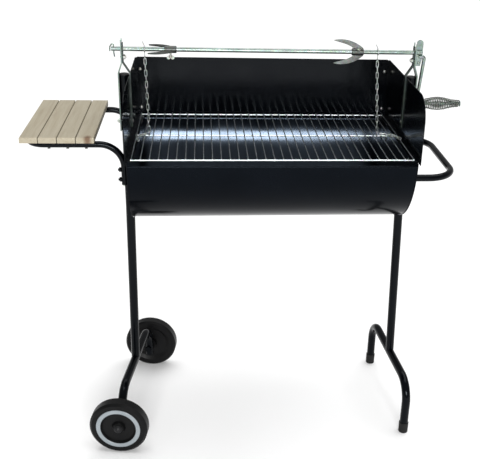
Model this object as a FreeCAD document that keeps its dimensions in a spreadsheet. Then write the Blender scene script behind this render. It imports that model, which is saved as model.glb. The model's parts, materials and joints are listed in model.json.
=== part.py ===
"""Barrel charcoal grill: an open half-drum trough with a three-sided windshield, on two tube
legs with a wheel bar and a foot bar, with a cooking grate on chains, a hand-cranked spit with
two forks, a slatted side shelf and a carry handle.

Lengths are millimetres. Modelling frame: X along the drum, Y from front to back, Z up, with
the drum's middle at X = 0. Every piece is then moved by origin_shift() along X, so that the
origin is at the middle of the bottom of the whole grill.
"""
import FreeCAD, Part
import math
import os

import Sketcher
from FreeCAD import Placement, Rotation, Vector

DRIVING = [
    ("trough_length", 708, "between the two end discs"),
    ("trough_radius", 205, "outside of the half drum"),
    ("drum_height", 829, "drum axis above the floor"),
    ("rim_drop", 8, "both rims below the drum's axis"),
    ("bead_radius", 3, "rolled rim of the drum"),
    ("plate", 1.5, "sheet steel"),
    ("ledge_width", 16, "inward fold at the top of an end disc, which carries the grate"),
    ("ledge_height", 833, "top of those folds above the floor"),
    ("panel_front", 222, "front edge of a side panel"),
    ("panel_top", 995, "top edge of the windshield"),
    ("panel_corner", 62, "rounded front corner of a side panel"),
    ("panel_tongue", 39, "how far a side panel laps its end disc"),
    ("shield_face", 207.5, "front face of the back shield"),
    ("tube_radius", 12, "legs, wheel bar and foot bar"),
    ("tube_wall", 1.5, "all tubes"),
    ("leg_top", 995, "top end of a leg"),
    ("left_kick", 5, "lower end of the left leg, outwards from its top"),
    ("right_kick", 14, "lower end of the right leg, outwards from its top"),
    ("kick_height", 640, "where a leg starts to lean outwards"),
    ("bar_height", 157, "centre line of the wheel bar and the foot bar"),
    ("bar_reach", 181, "leg to the upright end of a bar"),
    ("bar_bend", 60, "bend of a bar, on its centre line"),
    ("left_toe", 8.5, "degrees, rear end of the wheel bar turned inwards"),
    ("right_toe", 4.5, "degrees, rear end of the foot bar turned inwards"),
    ("wheel_radius", 79, "over the tread"),
    ("wheel_width", 40, "over the hub"),
    ("wheel_gap", 3, "spacer between bar and wheel"),
    ("axle_radius", 6, "wheel bolt"),
    ("running_gap", 0.05, "radial clearance of everything that turns"),
    ("shelf_reach", 606, "drum middle to the left edge of the shelf"),
    ("shelf_top", 882.5, "top of the slats"),
    ("slat_width", 42, "one slat"),
    ("slat_gap", 2, "between slats"),
    ("slat_length", 336, "front to back"),
    ("slat_thick", 14, "one slat"),
    ("rail_radius", 8, "shelf tube"),
    ("rail_half_span", 150, "shelf tube, middle to one side"),
    ("rail_foot", 758, "lower end of the shelf tube"),
    ("rail_bend", 58, "bend of the shelf tube"),
    ("grip_radius", 9, "carry handle tube"),
    ("grip_half_span", 162, "carry handle, middle to one side"),
    ("grip_height", 776, "carry handle"),
    ("handle_reach", 472, "drum middle to the handle's cross bar"),
    ("handle_bend", 75, "bend of the handle"),
    ("wire_pitch", 21.5, "between the grate's cross wires"),
    ("wire_gaps", 32, "number of those gaps"),
    ("wire_radius", 1.4, "cross wire"),
    ("rail_wire_radius", 2.1, "long wire"),
    ("grate_half_depth", 199, "cross wires, middle to an end"),
    ("spit_height", 1060, "axis of the spit"),
    ("spit_radius", 5.5, "spit rod"),
    ("spit_left", 398, "drum middle to the rod's left end"),
    ("spit_right", 393, "drum middle to the rod's right end"),
    ("post_thick", 3, "flat bar of the posts and braces"),
    ("post_width", 24, "flat bar of the outer posts"),
    ("brace_width", 12, "flat bar of the inner braces"),
    ("post_foot", 850, "lower end of a post"),
    ("post_tip", 1084, "points of the posts and braces"),
    ("meet_face", 372, "plane in which a post and its brace meet"),
    ("crank_throw", 134, "spit axis to the crank grip's axis"),
    ("crank_radius", 4.5, "round bar of the crank"),
    ("crank_reach", 509, "drum middle to the crank's end"),
    ("fork_left", 237, "drum middle to the right end of the left fork's collar"),
    ("fork_right", 238, "drum middle to the right end of the right fork's collar"),
    ("collar_length", 30, "fork collar"),
    ("collar_radius", 9, "fork collar"),
    ("left_prong", 70, "left fork, tips to the collar's right end"),
    ("right_prong", 77, "right fork, tips to the collar's right end"),
    ("prong_spread", 29, "spit axis to a fork tip"),
    ("left_chain_top", 316, "hook on the rod, drum middle"),
    ("left_chain_foot", 311.75, "ring on the grate, drum middle"),
    ("right_chain_top", 276, "hook on the rod, drum middle"),
    ("right_chain_foot", 290.25, "ring on the grate, drum middle"),
    ("link_wire", 1.15, "radius of a chain link's wire"),
    ("link_inner", 15, "inner length of a chain link"),
    ("link_half_width", 2.75, "link middle to its wire's middle"),
]

SIDES = (("left", -1), ("right", 1))
ENDS = (("front", -1), ("rear", 1))

# Heights above the floor
LEG_BOLT_LOW = 700.0
LEG_BOLT_HIGH = 875.0
PANEL_BOLT = 806.0
RAIL_BOLTS = (770.0, 795.5)
SHIELD_BOLTS = (852.0, 960.0)
POST_BOLT = 1040.0
FOOT_FLOOR = 4.0
WHEEL_BAR_FOOT = 56.0

# Other fixed sizes
LEG_BEND = 600.0
TROUGH_BOLT_X = 208.0
PANEL_BOLT_Y = 110.0
TONGUE_HALF = 190.0
SHIELD_BOLT_IN = 11.0
HOLE_RADIUS = 3.0
END_SCREW_IN = 60.0
SCREW_BITE = 9.0
PLATE_THICK = 3.0
BLADE_THICK = 3.0
HOOK_WIRE = 1.3
HOOK_EYE = 4.0
HOOK_DROP = 24.0
RING_WIRE = 1.3
RING_HALF = 3.45
SLACK_LOOSE = 1.6

# Headings of the slack links, in degrees, and the forks' turns about the rod
LEFT_SLACK = (222, 238, 254, 270, 286)
RIGHT_SLACK = (-10, -25, -41, -57, -73)
LEFT_FORK_ROLL = -80.0
RIGHT_FORK_ROLL = -8.0

# The crank grip: where it starts behind the crank, and (distance, radius) along it
GRIP_START = 102.0
GRIP_RINGS = ((0, 12.0), (12, 14.5), (26, 17.0), (40, 18.0), (54, 16.6), (68, 13.6), (80, 11.2),
              (92, 10.2), (99.0, 10.0))


class Size:
    """A length that knows both its value and its spreadsheet expression."""

    def __init__(self, value, text):
        self.value = value
        self.text = text

    def __float__(self):
        return float(self.value)

    def __add__(self, other):
        return Size(self.value + float(other), f"({self.text} + {text_of(other)})")

    def __sub__(self, other):
        return Size(self.value - float(other), f"({self.text} - {text_of(other)})")

    def __mul__(self, other):
        return Size(self.value * float(other), f"({self.text} * {text_of(other)})")

    def __truediv__(self, other):
        return Size(self.value / float(other), f"({self.text} / {text_of(other)})")

    def __radd__(self, other):
        return self + other

    def __rmul__(self, other):
        return self * other

    def __rsub__(self, other):
        return self * -1 + other

    def __neg__(self):
        return self * -1


def text_of(size):
    return size.text if isinstance(size, Size) else f"({size})"


class Sizes:
    """The driving dimensions by name, each tied to its cell."""

    def __init__(self, doc):
        sheet = doc.addObject("Spreadsheet::Sheet", "Dims")
        for row, (alias, value, note) in enumerate(DRIVING, start=1):
            sheet.set(f"A{row}", alias)
            sheet.set(f"B{row}", str(value))
            sheet.set(f"C{row}", note)
            sheet.setAlias(f"B{row}", alias)
            setattr(self, alias, Size(value, f"Dims.{alias}"))
        doc.recompute()


doc = FreeCAD.newDocument("BarrelGrill")
dim = Sizes(doc)
nodes = []

# ---------------------------------------------------------------- places used by many pieces


def origin_shift():
    return (dim.shelf_reach - dim.crank_reach) / 2


def disc_face():
    """Inner face of an end disc."""
    return dim.trough_length / 2


def panel_face():
    """Inner face of a side panel, which lies on the outside of its end disc."""
    return disc_face() + dim.plate


def leg_x():
    return panel_face() + dim.plate + dim.tube_radius


def post_x():
    """Inner face of a spit post, which lies on the outside of its leg."""
    return leg_x() + dim.tube_radius


def grate_low():
    """Middle of the grate's long wires, which rest on the ledges."""
    return dim.ledge_height + dim.rail_wire_radius


def cross_wire_height():
    return grate_low() + dim.rail_wire_radius + dim.wire_radius - 0.4


# ------------------------------------------------------------------------------ small helpers


def bind(target, prop, size):
    """Set a property now, and tie it to the sheet."""
    if isinstance(size, Size):
        target.setExpression(prop, size.text)


def keep(piece):
    nodes.append(piece)
    return piece


def place(piece, x=0.0, y=0.0, z=0.0, axis=None, angle=0.0):
    """Put a piece at a modelling position; origin_shift() is added here, once."""
    target = Placement()
    if axis is not None:
        target.Rotation = Rotation(axis, float(angle))
    target.Base = Vector(float(x + origin_shift()), float(y), float(z))
    piece.Placement = target
    bind(piece, "Placement.Base.x", x + origin_shift())
    bind(piece, "Placement.Base.y", y)
    bind(piece, "Placement.Base.z", z)
    return piece


def new_body(label):
    body = doc.addObject("PartDesign::Body", label)
    body.Label = label
    return keep(body)


def new_sketch(body, name, role, offset=0.0):
    sketch = body.newObject("Sketcher::SketchObject", f"{body.Label}_{name}")
    plane = [item for item in body.Origin.OriginFeatures if item.Role == role][0]
    sketch.AttachmentSupport = [(plane, "")]
    sketch.MapMode = "FlatFace"
    sketch.AttachmentOffset = Placement(Vector(0, 0, float(offset)), Rotation())
    bind(sketch, "AttachmentOffset.Base.z", offset)
    return sketch


def pin_point(sketch, geometry, corner, point):
    """Tie one corner of a line to its two coordinates."""
    for kind, size in zip(("DistanceX", "DistanceY"), point):
        index = sketch.addConstraint(
            Sketcher.Constraint(kind, -1, 1, geometry, corner, float(size)))
        bind(sketch, f"Constraints[{index}]", size)


def draw_outline(sketch, points):
    """A closed outline of straight lines, each corner tied to the sheet."""
    first = sketch.GeometryCount
    count = len(points)
    for index, point in enumerate(points):
        following = points[(index + 1) % count]
        start = Vector(float(point[0]), float(point[1]), 0)
        end = Vector(float(following[0]), float(following[1]), 0)
        sketch.addGeometry(Part.LineSegment(start, end))
    for index, point in enumerate(points):
        sketch.addConstraint(Sketcher.Constraint(
            "Coincident", first + index, 2, first + (index + 1) % count, 1))
        pin_point(sketch, first + index, 1, point)


def draw_circle(sketch, centre, radius):
    middle = Vector(float(centre[0]), float(centre[1]), 0)
    index = sketch.addGeometry(Part.Circle(middle, Vector(0, 0, 1), float(radius)))
    pin_point(sketch, index, 3, centre)
    rim = sketch.addConstraint(Sketcher.Constraint("Radius", index, float(radius)))
    bind(sketch, f"Constraints[{rim}]", radius)


def pad(body, sketch, length, symmetric=False):
    feature = body.newObject("PartDesign::Pad", f"{sketch.Name}_pad")
    feature.Profile = sketch
    feature.Length = float(length)
    feature.SideType = "Symmetric" if symmetric else "One side"
    bind(feature, "Length", length)
    sketch.Visibility = False
    return feature


def pocket_through(body, sketch):
    feature = body.newObject("PartDesign::Pocket", f"{sketch.Name}_cut")
    feature.Profile = sketch
    feature.Type = "ThroughAll"
    feature.SideType = "Symmetric"
    return feature


def revolve(body, sketch, axis="H_Axis", angle=360.0, symmetric=False):
    feature = body.newObject("PartDesign::Revolution", f"{sketch.Name}_turn")
    feature.Profile = sketch
    feature.ReferenceAxis = (sketch, [axis])
    feature.Angle = angle
    feature.Midplane = symmetric
    return feature


def round_edges(body, feature, radius, wanted):
    """Fillet the edges whose middle the function wanted() accepts."""
    doc.recompute()
    names = []
    for index, edge in enumerate(feature.Shape.Edges, start=1):
        if wanted(edge.CenterOfMass, edge):
            names.append(f"Edge{index}")
    fillet = body.newObject("PartDesign::Fillet", f"{feature.Name}_round")
    fillet.Base = (feature, names)
    fillet.Radius = float(radius)
    bind(fillet, "Radius", radius)
    return fillet


def feature_from(label, shape, x=0.0, y=0.0, z=0.0, axis=None, angle=0.0):
    """A piece made with Part's own functions; its Placement is set after its Shape."""
    piece = doc.addObject("Part::Feature", label)
    piece.Label = label
    piece.Shape = shape
    return keep(place(piece, x, y, z, axis, angle))


def bent_line(points, bends):
    """Straight runs through the points, with a tangent arc of its own radius at each corner."""
    corners = [Vector(*[float(value) for value in point]) for point in points]
    edges = []
    start = corners[0]
    for index in range(1, len(corners) - 1):
        corner = corners[index]
        back = (corners[index - 1] - corner).normalize()
        ahead = (corners[index + 1] - corner).normalize()
        half = back.getAngle(ahead) / 2
        reach = float(bends[index - 1]) / math.tan(half)
        centre = corner + (back + ahead).normalize() * (float(bends[index - 1]) / math.sin(half))
        inward = (corner - centre).normalize()
        before, after = corner + back * reach, corner + ahead * reach
        if (before - start).Length > 1e-6:
            edges.append(Part.LineSegment(start, before).toShape())
        middle = centre + inward * float(bends[index - 1])
        edges.append(Part.Arc(before, middle, after).toShape())
        start = after
    edges.append(Part.LineSegment(start, corners[-1]).toShape())
    return Part.Wire(edges)


def swept_round(path, radius):
    first = path.Edges[0]
    start = first.valueAt(first.FirstParameter)
    heading = first.tangentAt(first.FirstParameter)
    profile = Part.Wire([Part.makeCircle(float(radius), start, heading)])
    return path.makePipeShell([profile], True, False)


def bent_tube(points, bends, radius):
    """A hollow tube along straight runs and tangent arcs."""
    path = bent_line(points, bends)
    return swept_round(path, radius).cut(swept_round(path, radius - dim.tube_wall))


def rod_between(start, end, radius):
    first = Vector(*[float(value) for value in start])
    last = Vector(*[float(value) for value in end])
    return Part.makeCylinder(float(radius), (last - first).Length, first, last - first)


def hex_prism(across, length, start, heading):
    """A hexagon nut or bolt head, given across its flats."""
    corners = []
    for step in range(7):
        turn = math.radians(60 * step)
        corners.append(Vector(math.cos(turn), math.sin(turn), 0) * (across / math.sqrt(3)))
    solid = Part.Face(Part.makePolygon(corners)).extrude(Vector(0, 0, length))
    solid.Placement = Placement(start, Rotation(Vector(0, 0, 1), heading))
    return solid


def bolt_and_nut(start, heading, grip, radius, head=2.6):
    """A domed bolt through a joint of thickness grip, and its nut, as two touching solids."""
    start = Vector(*[float(value) for value in start])
    heading = Vector(*heading)
    grip = float(grip)
    flat = 1.15 * head
    dome = Part.makeSphere(flat * 1.9, start + heading * (flat * 0.9))
    keep_out = Part.makeCylinder(flat * 4, flat * 6, start, heading)
    shank = Part.makeCylinder(radius, grip + 2 * radius + 1.5, start, heading)
    bolt = dome.cut(keep_out).fuse(shank).removeSplitter()
    nut = hex_prism(radius * 3.6, radius * 1.6, start + heading * grip, heading)
    return [bolt, nut.cut(Part.makeCylinder(radius, radius * 4, start + heading * grip, heading))]


def turned(rings, radius_of):
    """A solid turned about X from (x, radius) pairs."""
    points = [Vector(rings[0][0], 0, 0)]
    points += [Vector(x, 0, radius) for x, radius in rings]
    points += [Vector(rings[-1][0], 0, 0), Vector(rings[0][0], 0, 0)]
    face = Part.Face(Part.makePolygon(points))
    solid = face.revolve(Vector(0, 0, 0), Vector(1, 0, 0), 360)
    if radius_of is not None:
        length = rings[-1][0] - rings[0][0]
        bore = Part.makeCylinder(radius_of, length + 2, Vector(rings[0][0] - 1, 0, 0), Vector(1, 0, 0))
        solid = solid.cut(bore)
    return solid


# ------------------------------------------------------------------------------------ the drum


def make_trough():
    """Nearly half a drum, turned about its own axis, with a rolled bead along both rims."""
    body = new_body("trough")
    half = disc_face()
    inner = dim.trough_radius - dim.plate
    section = new_sketch(body, "section", "XZ_Plane")
    draw_outline(section, [(-half, -dim.trough_radius), (half, -dim.trough_radius),
                           (half, -inner), (-half, -inner)])
    below = math.asin(float(dim.rim_drop / dim.trough_radius))
    revolve(body, section, "H_Axis", 180 - 2 * math.degrees(below), symmetric=True)
    beads = new_sketch(body, "beads", "YZ_Plane")
    middle = dim.trough_radius - dim.plate / 2
    for side in (-1, 1):
        draw_circle(beads, (middle * (side * math.cos(below)), middle * -math.sin(below)),
                    dim.bead_radius)
    pad(body, beads, dim.trough_length, symmetric=True)
    drains = new_sketch(body, "bolt_holes", "XY_Plane")
    for side in (-1, 1):
        draw_circle(drains, (TROUGH_BOLT_X * side, 0.0), HOLE_RADIUS)
    pocket_through(body, drains)
    place(body, z=dim.drum_height)
    bolts = []
    for side in (-1, 1):
        start = (TROUGH_BOLT_X * side, 0, -float(inner) + 0.1)
        bolts += bolt_and_nut(start, (0, 0, -1), dim.plate + 0.2, 3.0, head=3.2)
    feature_from("trough_bolts", Part.makeCompound(bolts), z=dim.drum_height)


def make_end_disc(name, side):
    """A half disc that closes the drum, with an upstand and a ledge folded inwards along its top."""
    body = new_body(f"{name}_end_disc")
    inner, outer = disc_face(), panel_face()
    rim = dim.trough_radius + dim.plate
    section = new_sketch(body, "section", "XZ_Plane")
    draw_outline(section, [(inner * side, -rim), (outer * side, -rim),
                           (outer * side, 0.0), (inner * side, 0.0)])
    revolve(body, section, "H_Axis", 180, symmetric=True)
    reach = dim.trough_radius - 8
    rise = dim.ledge_height - dim.drum_height
    upstand = new_sketch(body, "upstand", "YZ_Plane", inner if side > 0 else -outer)
    draw_outline(upstand, [(-reach, -5.0), (reach, -5.0), (reach, rise), (-reach, rise)])
    pad(body, upstand, dim.plate)
    ledge = new_sketch(body, "ledge", "XY_Plane", rise - dim.plate)
    draw_outline(ledge, [((inner - dim.ledge_width) * side, -reach), (outer * side, -reach),
                         (outer * side, reach), ((inner - dim.ledge_width) * side, reach)])
    pad(body, ledge, dim.plate)
    holes = new_sketch(body, "holes", "YZ_Plane")
    for y, z in disc_holes(side):
        draw_circle(holes, (y, z - dim.drum_height), HOLE_RADIUS)
    pocket_through(body, holes)
    place(body, z=dim.drum_height)


def disc_holes(side):
    """Bolt places (y, z) in an end disc: leg, panel, and the shelf or handle of that side."""
    places = [(0.0, LEG_BOLT_LOW)]
    places += [(PANEL_BOLT_Y * end, PANEL_BOLT) for end in (-1, 1)]
    if side < 0:
        for z in RAIL_BOLTS:
            places += [(dim.rail_half_span * end, z) for end in (-1, 1)]
    else:
        places += [(dim.grip_half_span * end, dim.grip_height) for end in (-1, 1)]
    return places


def make_side_panel(name, side):
    """A sheet that stands on an end disc, with a rounded front corner, a tongue that laps the
    disc and a flange that meets the back shield."""
    body = new_body(f"{name}_side_panel")
    inner = panel_face()
    base = dim.drum_height + 1
    rear = dim.shield_face - 0.2
    low = dim.drum_height - dim.panel_tongue
    offset = inner if side > 0 else -(inner + dim.plate)
    outline = new_sketch(body, "outline", "YZ_Plane", offset)
    draw_outline(outline, [
        (-dim.panel_front, base), (-TONGUE_HALF, base), (-TONGUE_HALF, low), (TONGUE_HALF, low),
        (TONGUE_HALF, base), (rear, base), (rear, dim.panel_top), (-dim.panel_front, dim.panel_top)])
    sheet = pad(body, outline, dim.plate)
    front, top = -float(dim.panel_front), float(dim.panel_top)
    round_edges(
        body, sheet, dim.panel_corner,
        lambda p, e: abs(p.y - front) < 0.1 and abs(p.z - top) < 0.1 and e.Length < 2)
    flange = new_sketch(body, "flange", "XY_Plane", base + 4)
    outer = inner + dim.plate
    draw_outline(flange, [((inner - 20) * side, rear - dim.plate), (outer * side, rear - dim.plate),
                          (outer * side, rear), ((inner - 20) * side, rear)])
    pad(body, flange, dim.panel_top - base - 8)
    cross = new_sketch(body, "cross_holes", "YZ_Plane")
    places = [(PANEL_BOLT_Y * end, PANEL_BOLT) for end in (-1, 1)]
    places += [(0.0, LEG_BOLT_HIGH)]
    if side < 0:
        places += [(dim.rail_half_span * end, RAIL_BOLTS[1]) for end in (-1, 1)]
    for centre in places:
        draw_circle(cross, centre, HOLE_RADIUS)
    pocket_through(body, cross)
    back = new_sketch(body, "flange_holes", "XZ_Plane")
    for z in SHIELD_BOLTS:
        draw_circle(back, ((inner - SHIELD_BOLT_IN) * side, z), HOLE_RADIUS)
    pocket_through(body, back)
    place(body)


def make_back_shield():
    body = new_body("back_shield")
    half = panel_face() + dim.plate
    outline = new_sketch(body, "outline", "XZ_Plane", -(dim.shield_face + dim.plate))
    low = dim.drum_height - 22
    draw_outline(outline, [(-half, low), (half, low), (half, dim.panel_top), (-half, dim.panel_top)])
    sheet = pad(body, outline, dim.plate)
    top = float(dim.panel_top)
    round_edges(body, sheet, 8.0, lambda p, e: abs(p.z - top) < 0.1 and e.Length < 2)
    holes = new_sketch(body, "holes", "XZ_Plane")
    for side in (-1, 1):
        for z in SHIELD_BOLTS:
            draw_circle(holes, ((panel_face() - SHIELD_BOLT_IN) * side, z), HOLE_RADIUS)
    pocket_through(body, holes)
    place(body)
    bolts = []
    for side in (-1, 1):
        for z in SHIELD_BOLTS:
            x = float(panel_face() - SHIELD_BOLT_IN) * side
            start = (x, dim.shield_face - 0.2 - dim.plate, z)
            bolts += bolt_and_nut(start, (0, 1, 0), 2 * dim.plate + 0.2, 3.0)
    feature_from("shield_bolts", Part.makeCompound(bolts))


def make_panel_bolts():
    """The bolts that hold each side panel's tongue to its end disc."""
    bolts = []
    for side in (-1, 1):
        for end in (-1, 1):
            start = (float(disc_face()) * side, PANEL_BOLT_Y * end, PANEL_BOLT)
            bolts += bolt_and_nut(start, (side, 0, 0), 2 * dim.plate, 3.0)
    feature_from("panel_bolts", Part.makeCompound(bolts))


# ------------------------------------------------------------------------------- the two stands


def bar_direction(side):
    """Unit vector from front to back along the left or the right bar, seen from above."""
    turn = math.radians(float(dim.left_toe if side < 0 else -dim.right_toe))
    return Vector(math.sin(turn), math.cos(turn), 0)


def bar_turn(side):
    return -dim.left_toe if side < 0 else dim.right_toe


def kick(side):
    """How far a leg's lower end stands outside its top."""
    return dim.left_kick if side < 0 else dim.right_kick


def bar_x(side):
    return (leg_x() + kick(side)) * side


def make_leg(name, side):
    """An upright tube, leaning slightly outwards below the drum, coped over its bar and
    drilled for its two bolts."""
    radius, inner = float(dim.tube_radius), float(dim.tube_radius - dim.tube_wall)
    foot, top = float(dim.bar_height), float(dim.leg_top)
    step = float(kick(side)) * side
    tube = bent_tube([(step, 0, foot), (0, 0, dim.kick_height), (0, 0, top)], [LEG_BEND],
                     dim.tube_radius)
    along = bar_direction(side)
    saddle = Part.makeCylinder(radius, 80, Vector(step, 0, foot) - along * 40, along)
    tube = tube.cut(saddle)
    for z in (LEG_BOLT_LOW, LEG_BOLT_HIGH):
        tube = tube.cut(Part.makeCylinder(3.0, 60, Vector(-30, 0, z), Vector(1, 0, 0)))
    feature_from(f"{name}_leg", tube, x=leg_x() * side)
    plug = Part.makeCylinder(inner, 12, Vector(0, 0, top - 12))
    plug = plug.fuse(Part.makeCylinder(radius, 3, Vector(0, 0, top)))
    return plug.removeSplitter(), leg_x() * side


def make_leg_plugs_and_bolts():
    """The plastic plugs in the legs' top ends, and the bolts that hold legs, posts and braces."""
    plugs = []
    for name, side in SIDES:
        plug, x = make_leg(name, side)
        plugs.append(plug.translated(Vector(float(x), 0, 0)))
    feature_from("leg_plugs", Part.makeCompound(plugs))
    bolts = []
    for side in (-1, 1):
        low_start = (float(disc_face()) * side, 0, LEG_BOLT_LOW)
        bolts += bolt_and_nut(low_start, (side, 0, 0), post_x() - disc_face(), 3.0)
        brace_face = panel_face() - dim.post_thick
        high_start = (float(brace_face) * side, 0, LEG_BOLT_HIGH)
        bolts += bolt_and_nut(high_start, (side, 0, 0), post_x() + dim.post_thick - brace_face, 3.0)
        spacer = Part.makeCylinder(7, float(dim.plate), Vector(float(panel_face()) * side, 0, LEG_BOLT_LOW),
                                   Vector(side, 0, 0))
        bore = Part.makeCylinder(3, 10, Vector(float(panel_face()) * side, 0, LEG_BOLT_LOW),
                                 Vector(side, 0, 0))
        bolts.append(spacer.cut(bore))
    feature_from("leg_bolts", Part.makeCompound(bolts))


def make_bar(name, side, foot, axle_holes):
    """An inverted U tube under a leg, turned by its toe angle about the leg."""
    reach, height = dim.bar_reach, dim.bar_height
    shape = bent_tube([(0, -reach, foot), (0, -reach, height), (0, reach, height), (0, reach, foot)],
                      [dim.bar_bend, dim.bar_bend], dim.tube_radius)
    if axle_holes:
        length = 2 * float(reach) + 80
        drill = Part.makeCylinder(float(dim.axle_radius), length,
                                  Vector(0, -length / 2, float(dim.wheel_radius)), Vector(0, 1, 0))
        shape = shape.cut(drill)
    feature_from(name, shape, x=bar_x(side), axis=Vector(0, 0, 1), angle=bar_turn(side))


def make_foot_caps():
    """Rubber cups on the two ends of the foot bar."""
    caps = []
    radius = float(dim.tube_radius)
    for _, end in ENDS:
        centre = Vector(0, float(dim.bar_reach) * end, 0)
        cup = Part.makeCone(radius + 1.4, radius + 1.8, 32, centre)
        cup = cup.makeFillet(1.2, [edge for edge in cup.Edges if edge.Length > 60])
        caps.append(cup.cut(Part.makeCylinder(radius, 40, centre + Vector(0, 0, FOOT_FLOOR))))
    feature_from("foot_caps", Part.makeCompound(caps), x=bar_x(1), axis=Vector(0, 0, 1),
                 angle=bar_turn(1))


def wheel_middle():
    """Leg to the middle of a wheel, along the wheel bar."""
    return dim.bar_reach + dim.tube_radius + dim.wheel_gap + dim.wheel_width / 2


def wheel_spot(end):
    """A wheel's middle in the modelling frame."""
    along = bar_direction(-1) * (float(wheel_middle()) * end)
    return along.x, along.y


def place_on_axle(piece, end):
    """Put a wheel piece, made about +X pointing outwards, on its axle."""
    x, y = wheel_spot(end)
    outward = bar_direction(-1) * end
    target = Placement(Vector(float(origin_shift() + bar_x(-1)) + x, y, float(dim.wheel_radius)),
                       Rotation(Vector(1, 0, 0), outward))
    piece.Placement = target
    bind(piece, "Placement.Base.z", dim.wheel_radius)
    return piece


def make_wheel(name, end):
    """Moulded wheel: tread, dished outer face with a white ring, plain hub, on a plain bore."""
    half = dim.wheel_width / 2
    radius = dim.wheel_radius
    body = new_body(f"{name}_wheel")
    section = new_sketch(body, "section", "XZ_Plane")
    bore = dim.axle_radius + dim.running_gap
    draw_outline(section, [
        (-half, bore), (-half, 17.0), (-half + 9, 19.0), (-half + 9, 50.0), (-half + 3, 60.0),
        (-half + 3, radius - 5), (-half + 8, radius), (half - 8, radius), (half - 2, radius - 6),
        (half - 2, 61.0), (half - 5, 60.5), (half - 5, 48.5), (half - 2, 48.0), (half - 9, 44.0),
        (half - 10, 19.0), (half - 2, 15.0), (half - 2, bore)])
    revolve(body, section)
    place_on_axle(body, end)
    ring = new_body(f"{name}_wheel_ring")
    band = new_sketch(ring, "section", "XZ_Plane")
    draw_outline(band, [(half - 5, 48.7), (half - 5, 60.3), (half - 2, 60.3), (half - 1, 59.0),
                        (half - 1, 50.0), (half - 2, 48.7)])
    revolve(ring, band)
    place_on_axle(ring, end)


def make_axle(name, end):
    """A shouldered bolt through the wheel bar, with its spacer, and a push-on cap."""
    half = float(dim.wheel_width) / 2
    radius, tube = float(dim.axle_radius), float(dim.tube_radius)
    gap = float(dim.wheel_gap)
    inner_end = -half - gap - 2 * tube
    pin = Part.makeCylinder(radius, half + 4 - inner_end, Vector(inner_end, 0, 0), Vector(1, 0, 0))
    head = hex_prism(18, 7, Vector(inner_end - 7, 0, 0), Vector(1, 0, 0))
    spacer = Part.makeCylinder(11, gap - 0.3, Vector(-half - gap, 0, 0), Vector(1, 0, 0))
    shape = pin.fuse([head, spacer])
    axle = doc.addObject("Part::Feature", f"{name}_axle")
    axle.Label = f"{name}_axle"
    axle.Shape = shape.removeSplitter()
    place_on_axle(keep(axle), end)
    cap = turned([(half - 1.7, 12.0), (half, 12.0), (half + 5, 8.0), (half + 8, 3.5)], None)
    cap = cap.cut(Part.makeCylinder(radius, half + 4, Vector(0, 0, 0), Vector(1, 0, 0)))
    cover = doc.addObject("Part::Feature", f"{name}_axle_cap")
    cover.Label = f"{name}_axle_cap"
    cover.Shape = cap
    place_on_axle(keep(cover), end)


# --------------------------------------------------------------------------- shelf and handle


def slat_left(index):
    return -dim.shelf_reach + (dim.slat_width + dim.slat_gap) * index


def shelf_tip():
    """How far out the cross bar of the shelf tube lies."""
    return dim.shelf_reach - 14


def slat_screw_places(index):
    """Where the tube runs under a slat: both of its sides, or the cross bar under the outer slat."""
    middle = float(slat_left(index) + dim.slat_width / 2)
    half = float(dim.rail_half_span)
    if index == 0:
        middle = -float(shelf_tip())
        half -= END_SCREW_IN
    return [(middle, half * end) for end in (-1, 1)]


def make_shelf():
    """A U tube bolted to the left end, and four slats screwed on it from below."""
    top = dim.shelf_top - dim.slat_thick - dim.rail_radius
    x = panel_face() + dim.plate + dim.rail_radius
    span, tip = dim.rail_half_span, shelf_tip()
    points = [(-x, -span, dim.rail_foot), (-x, -span, top), (-tip, -span, top),
              (-tip, span, top), (-x, span, top), (-x, span, dim.rail_foot)]
    bends = [dim.rail_bend, 40.0, 40.0, dim.rail_bend]
    tube = bent_tube(points, bends, dim.rail_radius)
    for end in (-1, 1):
        for z in RAIL_BOLTS:
            place_y = float(span) * end
            drill = Part.makeCylinder(3.0, 60, Vector(-float(x) - 30, place_y, z), Vector(1, 0, 0))
            tube = tube.cut(drill)
    feature_from("shelf_tube", tube)
    screws = []
    for index in range(4):
        body = new_body(f"shelf_slat_{index + 1}")
        section = new_sketch(body, "section", "XZ_Plane")
        left = slat_left(index)
        low = dim.shelf_top - dim.slat_thick
        draw_outline(section, [(left, low), (left + dim.slat_width, low),
                               (left + dim.slat_width, dim.shelf_top), (left, dim.shelf_top)])
        board = pad(body, section, dim.slat_length, symmetric=True)
        upper = float(dim.shelf_top)
        round_edges(body, board, 2.0, lambda p, e: abs(p.z - upper) < 0.1)
        place(body)
        for screw_x, screw_y in slat_screw_places(index):
            screws += slat_screw(body, screw_x, screw_y, float(low))
    feature_from("slat_screws", Part.makeCompound(screws))
    make_shelf_bolts(x)


def slat_screw(body, x, y, low):
    """A screw from below through the tube's plane into one slat, with its pilot hole."""
    under = low - 2 * float(dim.rail_radius)
    pilot = new_sketch(body, f"pilot_{'front' if y < 0 else 'rear'}", "XY_Plane", low)
    draw_circle(pilot, (x, y), 2.0)
    hole = body.newObject("PartDesign::Pocket", f"{pilot.Name}_cut")
    hole.Profile = pilot
    hole.Length = SCREW_BITE
    hole.Reversed = True
    head = Part.makeCone(2.0, 4.0, 2.0, Vector(x, y, under), Vector(0, 0, -1))
    shank = Part.makeCylinder(2.0, low - under + SCREW_BITE, Vector(x, y, under))
    return [head.fuse(shank).removeSplitter()]


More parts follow.
